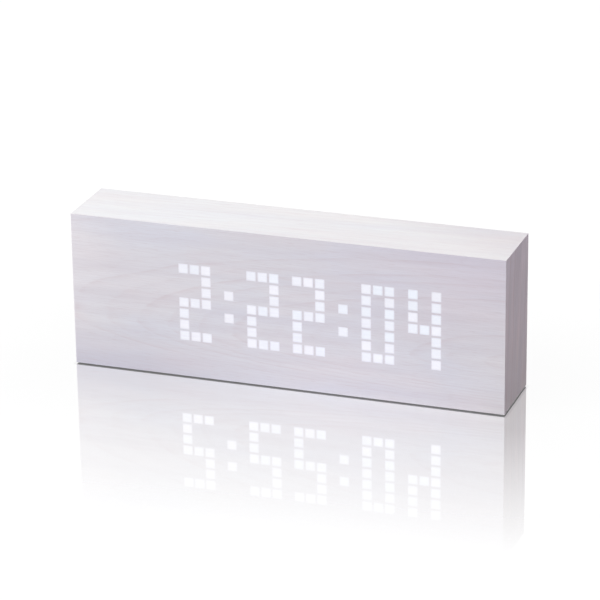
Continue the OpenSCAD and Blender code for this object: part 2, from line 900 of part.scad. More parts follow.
module battery_springs() {
    color("#d0d3d6") for (i = [0 : cell_count - 1])
        translate([bay_x, cell_y, cell_z(i)]) rotate([0, 0, cell_way(i) > 0 ? 0 : 180])
            translate([-bay_end, 0, 0]) tube(spring_points, spring_refs, spring_wire_d / 2, spring_sides);
}

// Contact plate on the end wall at side, from one cell to another
module contact_plate(side, from, to) {
    middle = (cell_z(from) + cell_z(to)) / 2;
    span = cell_z(to) - cell_z(from) + contact_w;
    plate_x = bay_x + side * (bay_len - contact_t) / 2;
    slab(plate_x, middle, contact_t, span, cell_y - contact_w / 2, cell_y + contact_w / 2);
}

// Tag of an end plate, through the bay's wall towards the control board
module contact_tag(i, play) {
    from = bay_x + bay_end + contact_t / 2;
    to = bay_x + bay_len / 2 + bay_wall_t + tag_reach;
    translate([from, cell_y - tag_w / 2 - play, cell_z(i) - contact_t / 2 - play])
        cube([to - from, tag_w + 2 * play, contact_t + 2 * play]);
}

module tag_slots() {
    for (i = [0, cell_count - 1]) contact_tag(i, through_play);
}

module battery_contacts() {
    color("#d0d3d6") {
        for (i = [0 : 2 : cell_count - 2]) contact_plate(-1, i, i + 1);
        for (i = [1 : 2 : cell_count - 3]) contact_plate(1, i, i + 1);
        for (i = [0, cell_count - 1]) {
            contact_plate(1, i, i);
            contact_tag(i, 0);
        }
    }
}

// Leads from the end plates' tags to the control board
lead_d = 1.2;
lead_sides = 8;
lead_rings = 10;
lead_reach = 7;
lead_tip = 0.01;
lead_shares = concat([0, lead_tip], [for (k = [1 : lead_rings - 1]) k / lead_rings], [1 - lead_tip, 1]);

// Lead from the tag at one cell to the upper or lower pad, as side is +1 or -1
module battery_lead(cell, side) {
    start = [bay_x + bay_len / 2 + bay_wall_t + tag_reach, cell_y, cell_z(cell)];
    end = [control_x + lead_x, board_rear, mid_z + side * lead_z];
    leave = start + [lead_reach, 0, 0];
    arrive = end + [0, lead_reach, 0];
    points = [for (share = lead_shares) curve_point(share, start, leave, arrive, end)];
    tube(points, [for (share = lead_shares) [0, 0, 1]], lead_d / 2, lead_sides);
}

module positive_lead() { color("#a8322c") battery_lead(cell_count - 1, 1); }
module negative_lead() { color("#232326") battery_lead(0, -1); }

// Control board and what stands on it

module control_board() {
    color("#1e6a3c") difference() {
        slab(control_x, mid_z, board_w, board_h, board_front, board_rear);
        at_board_screws()
            rod_y(0, 0, board_screw_r + through_play, board_front - cut_past, board_rear + cut_past);
        mic_pins(mic_pin_r + through_play);
    }
}

module board_screws() {
    head_r = 1.8;
    head_h = 1.3;
    color("#b9bcc0") at_board_screws() translate([0, board_front, 0])
        rotate([0, 0, 180]) pan_screw(head_r, head_h, board_screw_r, pcb_t + board_screw_bite);
}

module tact_switches() {
    bore_end = board_rear + plunger_seat - button_travel - plunger_gap;
    color("#3b3c40") for (i = [0 : button_count - 1]) on_board(button_place(i)) difference() {
        slab(0, 0, switch_side, switch_side, board_rear, board_rear + switch_h);
        rod_y(0, 0, plunger_r + plunger_gap, bore_end, board_rear + switch_h + cut_past);
    }
}

module plunger(i) {
    color("#e8e4da") on_board(button_place(i))
        rod_y(0, 0, plunger_r, board_rear + plunger_seat, board_rear + plunger_reach);
}

// Round key with a collar behind the rear cover and a stem that stands on its switch
module button(i) {
    cap_out = cover_out + button_proud;
    collar_out = cap_out - cover_in + button_collar_gap;
    collar_in = collar_out + button_collar_t;
    stem_end = cap_out - board_rear - plunger_reach;
    color("#55575c") on_board(button_place(i))
        translate([0, cap_out, 0]) rotate([90, 0, 0]) rotate_extrude() polygon([
            [0, 0], [button_r - button_edge, 0], [button_r, button_edge], [button_r, collar_out],
            [button_collar_r, collar_out], [button_collar_r, collar_in],
            [button_stem_r, collar_in], [button_stem_r, stem_end], [0, stem_end],
        ]);
}

module set_button() { button(0); }
module up_button() { button(1); }
module down_button() { button(2); }
module alarm_button() { button(3); }
module set_plunger() { plunger(0); }
module up_plunger() { plunger(1); }
module down_plunger() { plunger(2); }
module alarm_plunger() { plunger(3); }

module slide_switch() {
    slide_top = board_rear + slide_body_t;
    color("#8c8f94") on_board(slide_place) difference() {
        slab(0, 0, slide_body_w, slide_body_h, board_rear, slide_top);
        slab(0, 0, slide_slot_w, slide_slot_h, board_rear + slide_foot, slide_top + cut_past);
    }
}

// Knob at the end of its travel towards -X, with grip ridges on its face
module slide_knob() {
    knob_out = cover_out + button_proud;
    ridge_w = slide_knob_w / 7;
    ridge_depth = 0.3;
    color("#e4e4e2") on_board(slide_place) translate([-slide_travel / 2, 0, 0]) difference() {
        slab(0, 0, slide_knob_w, slide_knob_h, board_rear + slide_foot, knob_out);
        for (i = [-1 : 1])
            slab(2 * i * ridge_w, 0, ridge_w, 2 * slide_knob_h, knob_out - ridge_depth, knob_out + cut_past);
    }
}

module power_jack() {
    color("#1d1e20") on_board(jack_place) difference() {
        slab(0, 0, jack_side, jack_side, board_rear, cover_in);
        rod_y(0, 0, jack_bore_r, cover_in - jack_bore_len, cover_in + cut_past);
    }
}

module jack_pin() {
    point_r = jack_pin_r / 2;
    color("#cfd2d5") on_board(jack_place)
        translate([0, cover_in - jack_bore_len, 0]) rotate([-90, 0, 0]) rotate_extrude() polygon([
            [0, 0], [jack_pin_r, 0], [jack_pin_r, jack_pin_len - point_r], [point_r, jack_pin_len],
            [0, jack_pin_len],
        ]);
}

// Leads of the microphone, or with a larger radius the holes for them
module mic_pins(r) {
    on_board(mic_place) for (side = [-1, 1])
        rod_y(side * mic_pin_x, 0, r, board_front - mic_pin_end, cover_in - mic_len + mic_pin_r);
}

module microphone() {
    color("#a9acb0") {
        on_board(mic_place) rod_y(0, 0, mic_r, cover_in - mic_len, cover_in);
        mic_pins(mic_pin_r);
    }
}

// Rubber boot that holds the microphone behind its hole in the rear cover
module mic_boot() {
    boot_bore_r = mic_r + screw_play;
    color("#1d1e20") on_board(mic_place) difference() {
        rod_y(0, 0, boot_bore_r + mic_boot_t, cover_in - mic_len, cover_in);
        rod_y(0, 0, boot_bore_r, cover_in - mic_len - cut_past, cover_in + cut_past);
    }
}

module buzzer() {
    port_r = 1.2;
    port_depth = 2;
    buzzer_top = board_rear + buzzer_len;
    color("#1d1e20") on_board(buzzer_place) difference() {
        rod_y(0, 0, buzzer_r, board_rear, buzzer_top);
        rod_y(0, 0, port_r, buzzer_top - port_depth, buzzer_top + cut_past);
    }
}

// Chips on the front of the control board, facing the display
module controller_chip() {
    chip_w = 17.9;
    chip_h = 7.5;
    chip_t = 2.3;
    legs = 14;
    color("#2b2b2d") on_board(controller_place)
        translate([0, board_front, 0]) rotate([0, 0, 180]) chip(chip_w, chip_h, chip_t, legs);
}

module clock_chip() {
    chip_w = 5;
    chip_h = 4;
    chip_t = 1.5;
    legs = 4;
    color("#2b2b2d") on_board(clock_place)
        translate([0, board_front, 0]) rotate([0, 0, 180]) chip(chip_w, chip_h, chip_t, legs);
}

// Quartz can that lies along X on the front of the control board
module crystal() {
    can_r = 1.5;
    can_len = 8;
    color("#c9ccd0") on_board(crystal_place) rod_x(board_front - can_r, 0, can_r, 0, can_len);
}

module backup_holder() {
    rim_t = 1.4;
    rim_gap = 0.1;
    rim_rise = 0.4;
    notch_w = 9;
    rim_front = board_front - backup_floor - backup_t - rim_rise;
    color("#1d1e20") on_board(backup_place) difference() {
        rod_y(0, 0, backup_r + rim_gap + rim_t, rim_front, board_front);
        rod_y(0, 0, backup_r + rim_gap, rim_front - cut_past, board_front - backup_floor);
        slab(0, backup_r, notch_w, 4 * rim_t, rim_front - cut_past, board_front - backup_floor);
    }
}

module backup_cell() {
    face_inset = 1.2;
    face_step = 0.3;
    cell_back = board_front - backup_floor;
    color("#d4d6d9") on_board(backup_place) {
        rod_y(0, 0, backup_r, cell_back - backup_t + face_step, cell_back);
        rod_y(0, 0, backup_r - face_inset, cell_back - backup_t, cell_back);
    }
}

module capacitors() {
    can_r = 2.5;
    can_len = 7;
    color("#3a4f8f") for (place = capacitor_places) on_board(place)
        rod_y(0, 0, can_r, board_rear, board_rear + can_len);
}

front_veneer();
wrap_veneer();
back_veneer();
front_board();
top_board();
bottom_board();
left_board();
right_board();
back_board();
corner_blocks();
back_screws();
foot_pads();
hour_digits();
minute_digits();
second_digits();
colon_dots();
diffuser_sheet();
light_baffle();
led_board();
leds();
led_drivers();
display_screws();
ribbon_headers();
ribbon_cable();
rear_cover();
cover_screws();
battery_box();
battery_door();
battery_cells();
battery_springs();
battery_contacts();
positive_lead();
negative_lead();
control_board();
board_screws();
tact_switches();
set_button();
up_button();
down_button();
alarm_button();
set_plunger();
up_plunger();
down_plunger();
alarm_plunger();
slide_switch();
slide_knob();
power_jack();
jack_pin();
microphone();
mic_boot();
buzzer();
controller_chip();
clock_chip();
crystal();
backup_holder();
backup_cell();
capacitors();
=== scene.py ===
"""Digital alarm clock: the finish of its surfaces, the marks on its rear, the floor, light and camera."""
import collections
import functools
import math

import bmesh
import bpy
from mathutils import Matrix, Vector


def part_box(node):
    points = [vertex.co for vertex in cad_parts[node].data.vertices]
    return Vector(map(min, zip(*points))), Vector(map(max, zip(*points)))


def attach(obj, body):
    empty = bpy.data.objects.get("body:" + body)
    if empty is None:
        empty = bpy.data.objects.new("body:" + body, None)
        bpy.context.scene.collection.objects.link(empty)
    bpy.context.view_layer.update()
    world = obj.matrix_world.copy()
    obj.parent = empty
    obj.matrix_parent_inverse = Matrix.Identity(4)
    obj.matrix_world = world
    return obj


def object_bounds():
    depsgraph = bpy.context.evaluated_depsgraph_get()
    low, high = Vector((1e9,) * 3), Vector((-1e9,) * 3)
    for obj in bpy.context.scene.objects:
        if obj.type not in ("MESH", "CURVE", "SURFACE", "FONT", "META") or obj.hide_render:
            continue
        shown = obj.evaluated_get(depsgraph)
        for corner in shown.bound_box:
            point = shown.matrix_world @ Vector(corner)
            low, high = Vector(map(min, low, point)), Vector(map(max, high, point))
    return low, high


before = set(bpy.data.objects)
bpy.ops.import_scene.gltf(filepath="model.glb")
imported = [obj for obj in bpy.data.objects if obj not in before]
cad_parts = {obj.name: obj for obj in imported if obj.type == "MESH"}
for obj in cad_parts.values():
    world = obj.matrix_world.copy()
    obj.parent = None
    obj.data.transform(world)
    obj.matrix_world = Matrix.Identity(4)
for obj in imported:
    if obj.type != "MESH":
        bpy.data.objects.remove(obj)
cad_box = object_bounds()

MM = 0.001

# Finish of a surface: its colour, and how metallic and how rough it is
Finish = collections.namedtuple("Finish", "colour metallic roughness")

# Arches of a veneer: the far end and the middle line they open towards, their slope and the width of a ring
Figure = collections.namedtuple("Figure", "end middle slope ring")

# Patches of colour on a face, some of them painted shade and painted highlight: each with its colour, its
# full share, and the millimetres of X and of Z over which the share grows
Stain = collections.namedtuple("Stain", "colour share x z")
FACE_STAINS_AND_PAINTED_LIGHT = {
    # painted shade: the face is darker and greyer low on the left
    "grey, low on the left": Stain("b6b5d2", 0.35, (0, -75), (24, 0)),
    "mauve, high on the right": Stain("e3ccee", 0.20, (0, 95), (30, 75)),
    # painted highlight: the face is paler along its left edge
    "pale, along the left edge": Stain("faf4f7", 0.35, (-88, -112), (8, 30)),
    "pale, low along the right edge": Stain("faf4f7", 0.30, (84, 112), (60, 30)),
}

# Strip of veneer round the case: how far its figure leans, its contrast and the share of its tint and painted
# shade
Strip = collections.namedtuple("Strip", "lean contrast stain")
TOP_STRIP = Strip(lean=0.04, contrast=0.6, stain=0.40)
END_STRIP = Strip(lean=0.02, contrast=2.4, stain=0.45)

# Keys on the rear, in the order of their signs
KEYS = ("set", "up", "down", "alarm")

# Rounding of the edges of moulded pieces
MOULDED_EDGE = 0.2 * MM

# Display grid
DOT_PITCH = 5.95 * MM
DOT_SIDE = 5.0 * MM
DOT_COLUMNS = 27

# Camera at the photograph's angle, found from the corners of the case in the 600 pixel frame
CAMERA_AZIMUTH = 19.402
CAMERA_ELEVATION = 21.333
CAMERA_ROLL = -0.756
CAMERA_DISTANCE = 1.5612
CAMERA_TARGET = Vector((0.00808, -0.020, 0.04844))
CAMERA_LENS = 191.1
CAMERA_SENSOR = 36.0

# Floor as it is seen: its white, and the shade along the foot of the case
FLOOR_TONE = 0.10
FLOOR_GLOW = 0.932
CONTACT_SHADE = 0.50
CONTACT_WIDTH = 2.0 * MM

# Mirror image on the floor: it fades from the near to the far distance, and sooner along X by the lean
MIRROR_SHARE = 0.73
MIRROR_TINT = 0.97
MIRROR_ROUGHNESS = 0.01
MIRROR_NEAR = 20 * MM
MIRROR_FAR = 188 * MM
MIRROR_LEAN = 1.16
MIRROR_LEAN_START = -60 * MM
MIRROR_LEAN_STOP = 110 * MM

# Floor as it lights the case: dark but for a pool of light in front of the case
POOL_MIDDLE = (45 * MM, -55 * MM)
POOL_NEAR = 30 * MM
POOL_FAR = 120 * MM
POOL_EDGE = 16 * MM
POOL_DARK = (0.04, 0.035, 0.04, 1)
POOL_LIGHT = (0.28, 0.25, 0.31, 1)


def shade(code, factor=1.0):
    """Linear colour of an sRGB code such as d8d4dc, made lighter or darker by the factor."""
    channels = [int(code[i:i + 2], 16) / 255 for i in (0, 2, 4)]
    linear = [c / 12.92 if c <= 0.04045 else ((c + 0.055) / 1.055) ** 2.4 for c in channels]
    return (*[min(1.0, c * factor) for c in linear], 1.0)


def grey(level):
    """Linear grey from 0 to 1."""
    return (level, level, level, 1.0)


def middle_of(node):
    """Middle of a CAD node's box."""
    low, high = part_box(node)
    return (low + high) / 2


class Graph:
    """Node graph of one material: a Principled shader and the textures that feed it."""

    def __init__(self, name):
        self.material = bpy.data.materials.new(name)
        self.material.use_nodes = True
        self.tree = self.material.node_tree
        self.shader = self.tree.nodes["Principled BSDF"]
        self.point = self.node("ShaderNodeTexCoord").outputs["Object"]

    def node(self, kind, inputs=None, **settings):
        """New node with its settings, and with values or sockets for its inputs."""
        made = self.tree.nodes.new(kind)
        for name, value in settings.items():
            setattr(made, name, value)
        for key, value in (inputs or {}).items():
            self.feed(made.inputs[key], value)
        return made

    def feed(self, socket, value):
        """Links a socket, or sets a plain value."""
        if isinstance(value, bpy.types.NodeSocket):
            self.tree.links.new(value, socket)
        else:
            socket.default_value = value

    def set(self, **values):
        """Feeds the shader: an underscore in a name stands for a space."""
        for name, value in values.items():
            self.feed(self.shader.inputs[name.replace("_", " ")], value)

    def calc(self, operation, *values):
        """One arithmetic step."""
        made = self.node("ShaderNodeMath", operation=operation)
        for socket, value in zip(made.inputs, values):
            self.feed(socket, value)
        return made.outputs[0]

    def distance(self, first, second):
        """Straight distance over two sides at a right angle."""
        squares = [self.calc("MULTIPLY", side, side) for side in (first, second)]
        return self.calc("SQRT", self.calc("ADD", *squares))

    def axes(self):
        """The three object coordinates, in metres."""
        return self.node("ShaderNodeSeparateXYZ", {0: self.point}).outputs

    def join(self, x, y, z):
        """A vector of three numbers or sockets."""
        return self.node("ShaderNodeCombineXYZ", {0: x, 1: y, 2: z}).outputs[0]

    def noise(self, scale, stretch=(1, 1, 1), detail=2.0, point=None):
        """Smooth noise of about 0 to 1, with more waves per metre along the axes that are stretched more."""
        place = self.node("ShaderNodeVectorMath", {0: point or self.point, 1: stretch}, operation="MULTIPLY")
        inputs = {"Vector": place.outputs[0], "Scale": scale, "Detail": detail}
        return self.node("ShaderNodeTexNoise", inputs).outputs["Fac"]

    def chance(self, x, y):
        """A random number from 0 to 1 for each pair of whole numbers."""
        inputs = {"Vector": self.join(x, y, 0)}
        return self.node("ShaderNodeTexWhiteNoise", inputs, noise_dimensions="2D").outputs["Value"]

    def spread(self, value, low, high, from_low=0.0, from_high=1.0):
        """Maps a value from one range to another, held at its ends."""
        inputs = {0: value, 1: from_low, 2: from_high, 3: low, 4: high}
        return self.node("ShaderNodeMapRange", inputs).outputs[0]

    def ramp(self, value, *stops):
        """Colour along a list of (place, colour) stops."""
        made = self.node("ShaderNodeValToRGB", {0: value})
        elements = made.color_ramp.elements
        while len(elements) < len(stops):
            elements.new(1.0)
        for element, (place, colour) in zip(elements, stops):
            element.position = place
            element.color = colour
        return made.outputs[0]

    def mix(self, share, first, second):
        """Mixes two numbers."""
        return self.node("ShaderNodeMix", {0: share, 2: first, 3: second}).outputs[0]

    def blend(self, share, first, second):
        """Mixes two colours."""
        return self.node("ShaderNodeMix", {0: share, 6: first, 7: second}, data_type="RGBA").outputs[2]

    def bump(self, height, distance):
        """Raises the surface by up to a distance in metres."""
        made = self.node("ShaderNodeBump", {"Height": height, "Distance": distance})
        self.set(Normal=made.outputs[0])

    def near(self, value, middle, half_width):
        """1 where a value lies within half a width of the middle, else 0."""
        return self.calc("LESS_THAN", self.calc("ABSOLUTE", self.calc("SUBTRACT", value, middle)), half_width)


# Wood


def ring_lines(graph, along, across, figure, place):
    """Lines of late wood, from 0 to 1.

    The growth rings are cut at a shallow slope, so that their lines close in long arches. The arches are
    narrower below the middle line, and each ring has its own weight."""
    narrower = -2.2
    sway_rings = 1.7
    waver_rings = 0.4
    faintest = 0.15
    sway = graph.noise(1, (9, 26, 1), 1.0, place)
    waver = graph.noise(1, (45, 210, 1), 2.0, place)
    level = graph.calc("MULTIPLY", graph.calc("SUBTRACT", along, figure.end), figure.slope)
    height = graph.calc("SUBTRACT", across, figure.middle)
    height = graph.calc("MAXIMUM", height, graph.calc("MULTIPLY", height, narrower))
    rings = graph.calc("DIVIDE", graph.distance(level, height), figure.ring)
    rings = graph.calc("ADD", rings, graph.calc("MULTIPLY", sway, sway_rings))
    rings = graph.calc("ADD", rings, graph.calc("MULTIPLY", waver, waver_rings))
    late_wood = graph.ramp(
        graph.calc("FRACT", rings),
        (0.0, grey(0.0)), (0.5, grey(0.1)), (0.75, grey(0.5)), (0.9, grey(0.9)), (1.0, grey(0.0)),
    )
    weight = graph.chance(graph.calc("FLOOR", rings), 0)
    weight = graph.spread(graph.calc("MULTIPLY", weight, weight), faintest, 1.0)
    dash = graph.spread(graph.noise(1, (32, 420, 1), 3.0, place), faintest, 1.0, 0.36, 0.62)
    return graph.calc("MULTIPLY", graph.calc("MULTIPLY", late_wood, weight), dash)


def add_grain(graph, along, across, figure, stains_and_painted_light, contrast=1.0):
    """Feeds the shader with white-stained veneer.

    The stains and painted light are pairs of a share and a colour: tints as well as painted shade and painted
    highlights. The contrast makes the lines and bands stronger or weaker.
    Each noise is given its waves per metre along and across the fibres."""
    band_share = 0.2
    line_share = 0.27
    fibre_share = 0.22
    fleck_share = 0.13
    depth = 0.02 * MM
    place = graph.join(along, across, figure.end)
    lines = ring_lines(graph, along, across, figure, place)
    fibre = graph.noise(1, (60, 2300, 1), 4.0, place)
    fleck = graph.spread(graph.noise(1, (170, 2400, 1), 1.0, place), 0.0, 1.0, 0.6, 0.72)
    band = graph.spread(graph.noise(1, (7, 170, 1), 2.0, place), 0.0, band_share, 0.4, 0.65)
    cloud = graph.noise(1, (16, 60, 1), 3.0, place)
    wood = graph.ramp(cloud, (0.32, shade("e3e4ee")), (0.5, shade("e5e4eb")), (0.68, shade("e7e3e9")))
    for share, colour in stains_and_painted_light:
        wood = graph.blend(share, wood, colour)
    wood = graph.blend(graph.calc("MULTIPLY", band, contrast), wood, shade("c9bfcb"))
    late_wood = graph.calc("MULTIPLY", lines, graph.calc("MULTIPLY", contrast, line_share))
    wood = graph.blend(late_wood, wood, shade("c8aeb4"))
    wood = graph.blend(graph.spread(fibre, 0.0, fibre_share, 0.4, 0.7), wood, shade("cfc6cf"))
    wood = graph.blend(graph.calc("MULTIPLY", fleck, fleck_share), wood, shade("c0a6ac"))
    graph.set(Base_Color=wood, Specular_IOR_Level=0.25)
    graph.set(Roughness=graph.spread(fibre, 0.5, 0.66))
    grain = graph.calc("ADD", graph.calc("MULTIPLY", fibre, 0.7), graph.calc("MULTIPLY", lines, -0.5))
    graph.bump(grain, depth)


def face_veneer(name, figure):
    """Veneer of the front or the back, with its fibres along X, and tints, painted shade and painted
    highlights in patches.
    """
    graph = Graph(name)
    x, _, z = graph.axes()
    stains_and_painted_light = []
    for stain in FACE_STAINS_AND_PAINTED_LIGHT.values():
        sideways = graph.spread(x, 0.0, stain.share, *[edge * MM for edge in stain.x])
        upwards = graph.spread(z, 0.0, 1.0, *[edge * MM for edge in stain.z])
        stains_and_painted_light.append((graph.calc("MULTIPLY", sideways, upwards), shade(stain.colour)))
    add_grain(graph, x, z, figure, stains_and_painted_light)
    return graph.material


def wrap_veneer(name, figure):
    """Veneer of one strip round the case: its fibres run along X on the top and up Z on the ends.

    The ends have a shorter and stronger figure, a pink tint and painted shade that darkens them downwards.
    The top has painted shade that makes it greyer towards its rear right corner, over a range of X with Y
    counted more than once."""
    end_pace = 3.0
    depth_weight = 2.0
    painted_shade_start = 60 * MM
    painted_shade_stop = 125 * MM
    graph = Graph(name)
    x, y, z = graph.axes()
    normal = graph.node("ShaderNodeNewGeometry").outputs["True Normal"]
    sideways = graph.node("ShaderNodeSeparateXYZ", {0: normal}).outputs[0]
    on_end = graph.calc("GREATER_THAN", graph.calc("ABSOLUTE", sideways), 0.5)
    along = graph.mix(on_end, x, graph.calc("MULTIPLY", z, end_pace))
    lean = graph.calc("MULTIPLY", along, graph.spread(on_end, TOP_STRIP.lean, END_STRIP.lean))
    contrast = graph.spread(on_end, TOP_STRIP.contrast, END_STRIP.contrast)
    height = graph.calc("DIVIDE", z, cad_box[1].z)
    # painted shade: the ends get darker towards the foot, over a pink tint
    end_tint_and_painted_shade = graph.ramp(height, (0.1, shade("c3acaf")), (0.5, shade("eaccda")), (0.9, shade("f2d8eb")))
    # painted shade: the top gets greyer towards its rear right corner
    slant = graph.calc("ADD", x, graph.calc("MULTIPLY", y, depth_weight))
    corner = graph.spread(slant, 0.0, 1.0, painted_shade_start, painted_shade_stop)
    top_tint_and_painted_shade = graph.blend(corner, shade("ebeee7"), shade("cdc9c5"))
    tint_and_painted_shade_colour = graph.blend(on_end, top_tint_and_painted_shade, end_tint_and_painted_shade)
    stain = graph.spread(on_end, TOP_STRIP.stain, END_STRIP.stain)
    add_grain(graph, along, graph.calc("SUBTRACT", y, lean), figure, [(stain, tint_and_painted_shade_colour)], contrast)
    return graph.material


def grid_place(graph):
    """Column and row of a point on the display, counted from its middle."""
    middle = middle_of("leds")
    x, _, z = graph.axes()
    column = graph.calc("DIVIDE", graph.calc("SUBTRACT", x, middle.x), DOT_PITCH)
    row = graph.calc("DIVIDE", graph.calc("SUBTRACT", z, middle.z), DOT_PITCH)
    return column, row


def lit_dots(name):
    """Veneer with light behind it.

    Each square differs a little and dims in a narrow band at its edges, and the light grows to the right."""
    graph = Graph(name)
    column, row = grid_place(graph)
    half = DOT_SIDE / DOT_PITCH / 2
    edge = 0.12
    edge_light = 0.35
    last_column = (DOT_COLUMNS - 1) / 2
    speckle = graph.spread(graph.noise(1, (420, 1, 900)), 0.26, 0.30)
    to_the_right = graph.spread(column, 0.84, 1.12, -last_column, last_column)
    light = graph.calc("MULTIPLY", speckle, to_the_right)
    for place in (column, row):
        inside = graph.calc("ABSOLUTE", graph.calc("SUBTRACT", place, graph.calc("ROUND", place)))
        light = graph.calc("MULTIPLY", light, graph.spread(inside, 1.0, edge_light, half - edge, half))
    cell = (graph.calc("ROUND", column), graph.calc("ROUND", row))
    own_light = graph.spread(graph.chance(*cell), 0.70, 0.83)
    light = graph.calc("MULTIPLY", light, own_light)
    warmth = graph.chance(cell[1], cell[0])
    fibre = graph.noise(1, (70, 1, 2600))
    graph.set(Base_Color=graph.ramp(fibre, (0.3, shade("e6e2ea")), (0.7, shade("eeecf4"))))
    graph.set(Emission_Color=graph.ramp(warmth, (0.0, shade("ccf0fc")), (1.0, shade("ebf5fc"))))
    graph.set(Emission_Strength=light, Roughness=graph.spread(fibre, 0.45, 0.6))
    graph.bump(fibre, 0.01 * MM)
    return graph.material


def fibreboard(name):
    """Pressed brown fibres: short flecks with no direction."""
    graph = Graph(name)
    fleck = graph.noise(900, detail=4.0)
    cloud = graph.noise(60, detail=2.0)
    board = graph.ramp(fleck, (0.3, shade("8a6a48")), (0.55, shade("b8936a")), (0.75, shade("cdac82")))
    graph.set(Base_Color=graph.blend(graph.spread(cloud, 0.0, 0.3), board, shade("9c7850")))
    graph.set(Roughness=graph.spread(fleck, 0.75, 0.92))
    graph.bump(fleck, 0.06 * MM)
    return graph.material


def softwood(name):
    """Glue blocks, with their rings along Y."""
    graph = Graph(name)
    rings = graph.noise(1, (420, 12, 420), 2.0)
    wood = graph.ramp(rings, (0.35, shade("d6b684")), (0.55, shade("c9a26c")), (0.7, shade("b38550")))
    graph.set(Base_Color=wood)
    graph.set(Roughness=graph.spread(rings, 0.6, 0.8))
    graph.bump(rings, 0.05 * MM)
    return graph.material


# Plastic, rubber and metal


def plastic(name, code, roughness, grain_scale=3500, grain_depth=0.012, tint=0.1):
    """Moulded plastic or rubber: a fine spark-eroded grain and a faint cloudiness."""
    graph = Graph(name)
    grain = graph.noise(grain_scale, detail=3.0)
    cloud = graph.noise(90, detail=3.0)
    handled = graph.noise(45, (1, 1, 2), 4.0)
    graph.set(Base_Color=graph.ramp(cloud, (0.3, shade(code, 1 - tint)), (0.7, shade(code, 1 + tint))))
    matt = graph.spread(grain, roughness - 0.05, roughness + 0.08, 0.3, 0.7)
    graph.set(Roughness=graph.calc("SUBTRACT", matt, graph.spread(handled, 0.0, 0.1, 0.5, 0.75)))
    graph.bump(grain, grain_depth * MM)
    return graph.material


def metal(name, code, roughness, stretch=(1, 1, 1), scale=2500):
    """Metal with drawn or rolled streaks."""
    graph = Graph(name)
    streak = graph.noise(scale, stretch, 3.0)
    graph.set(Base_Color=graph.ramp(streak, (0.3, shade(code, 0.82)), (0.7, shade(code, 1.08))))
    graph.set(Metallic=1.0)
    graph.set(Roughness=graph.spread(streak, roughness - 0.08, roughness + 0.1, 0.3, 0.7))
    graph.bump(streak, 0.004 * MM)
    return graph.material


def two_finish(graph, share, first, second, grain_scale=3000):
    """Feeds the shader with the first finish where the share is 0 and with the second where it is 1."""
    wear = 0.25
    unevenness = 0.06
    grain = graph.noise(grain_scale, detail=3.0)
    colour = graph.blend(share, first.colour, second.colour)
    worn = graph.node("ShaderNodeMix", {0: wear, 6: colour, 7: grain}, data_type="RGBA", blend_type="OVERLAY")
    graph.set(Base_Color=worn.outputs[2])
    if first.metallic == second.metallic:
        graph.set(Metallic=first.metallic)
    else:
        graph.set(Metallic=graph.spread(share, first.metallic, second.metallic))
    rough = graph.spread(share, first.roughness, second.roughness)
    graph.set(Roughness=graph.calc("ADD", rough, graph.spread(grain, -unevenness, unevenness, 0.3, 0.7)))
    graph.bump(grain, 0.006 * MM)
    return graph.material


# Finishes that several pieces share
STEEL = Finish(shade("c3c6c9"), 1.0, 0.32)
BLACK_EPOXY = Finish(shade("26262a"), 0.0, 0.55)
WHITE_RESIN = Finish(shade("ece9e0"), 0.0, 0.45)


def chip_finish(name, node, body_height):
    """Black epoxy body with tinned legs above and below it."""
    graph = Graph(name)
    body = graph.near(graph.axes()[2], middle_of(node).z, body_height / 2)
    return two_finish(graph, body, STEEL, BLACK_EPOXY)


def capped_finish(name, node, cap_depth, side, cap):
    """One finish on the sides of a piece and another on its rear cap."""
    _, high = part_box(node)
    graph = Graph(name)
    on_cap = graph.calc("GREATER_THAN", graph.axes()[1], high.y - cap_depth)
    return two_finish(graph, on_cap, side, cap)


def circuit_board(name):
    """Green solder mask over copper tracks, with a few tinned pads."""
    graph = Graph(name)
    settings = {"voronoi_dimensions": "3D", "feature": "F1", "distance": "CHEBYCHEV"}
    cell = graph.node("ShaderNodeTexVoronoi", {"Vector": graph.point, "Scale": 320.0}, **settings)
    track = graph.spread(cell.outputs["Distance"], 0.0, 1.0, 0.36, 0.42)
    pad = graph.calc("LESS_THAN", cell.outputs["Distance"], 0.1)
    weave = graph.noise(2600, detail=2.0)
    mask = graph.blend(track, shade("12532d"), shade("1e7440"))
    mask = graph.blend(graph.spread(weave, 0.0, 0.25), mask, shade("0d3f22"))
    graph.set(Base_Color=graph.blend(pad, mask, shade("c9ccce")))
    graph.set(Metallic=pad)
    graph.set(Roughness=graph.spread(weave, 0.28, 0.42))
    graph.bump(track, 0.03 * MM)
    return graph.material


def led_packages(name):
    """White package with a round yellow phosphor window in front of each cell of the display."""
    window_radius = 1.15 * MM
    phosphor = Finish(shade("f2d25a"), 0.0, 0.2)
    graph = Graph(name)
    offsets = []
    for place in grid_place(graph):
        offset = graph.calc("SUBTRACT", place, graph.calc("ROUND", place))
        offsets.append(graph.calc("MULTIPLY", offset, DOT_PITCH))
    window = graph.calc("LESS_THAN", graph.distance(*offsets), window_radius)
    return two_finish(graph, window, WHITE_RESIN, phosphor)


def ribbon(name):
    """Grey flat cable: round wires side by side, the first one marked red, with painted shade in the grooves
    between the wires and a painted highlight on each crown.
    """
    low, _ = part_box("ribbon_cable")
    wire = 1.27 * MM
    graph = Graph(name)
    place = graph.calc("DIVIDE", graph.calc("SUBTRACT", graph.axes()[0], low.x), wire)
    crown_and_painted_shade = graph.calc("SINE", graph.calc("MULTIPLY", graph.calc("FRACT", place), math.pi))
    # painted shade in the grooves and painted highlight on the crowns of the wires
    sleeve = graph.ramp(crown_and_painted_shade, (0.0, shade("6e7379")), (0.6, shade("a3a8ae")))
    graph.set(Base_Color=graph.blend(graph.calc("LESS_THAN", place, 1.0), sleeve, shade("a5322e")))
    graph.set(Roughness=graph.spread(graph.noise(1800), 0.38, 0.52))
    graph.bump(crown_and_painted_shade, 0.3 * MM)
    return graph.material


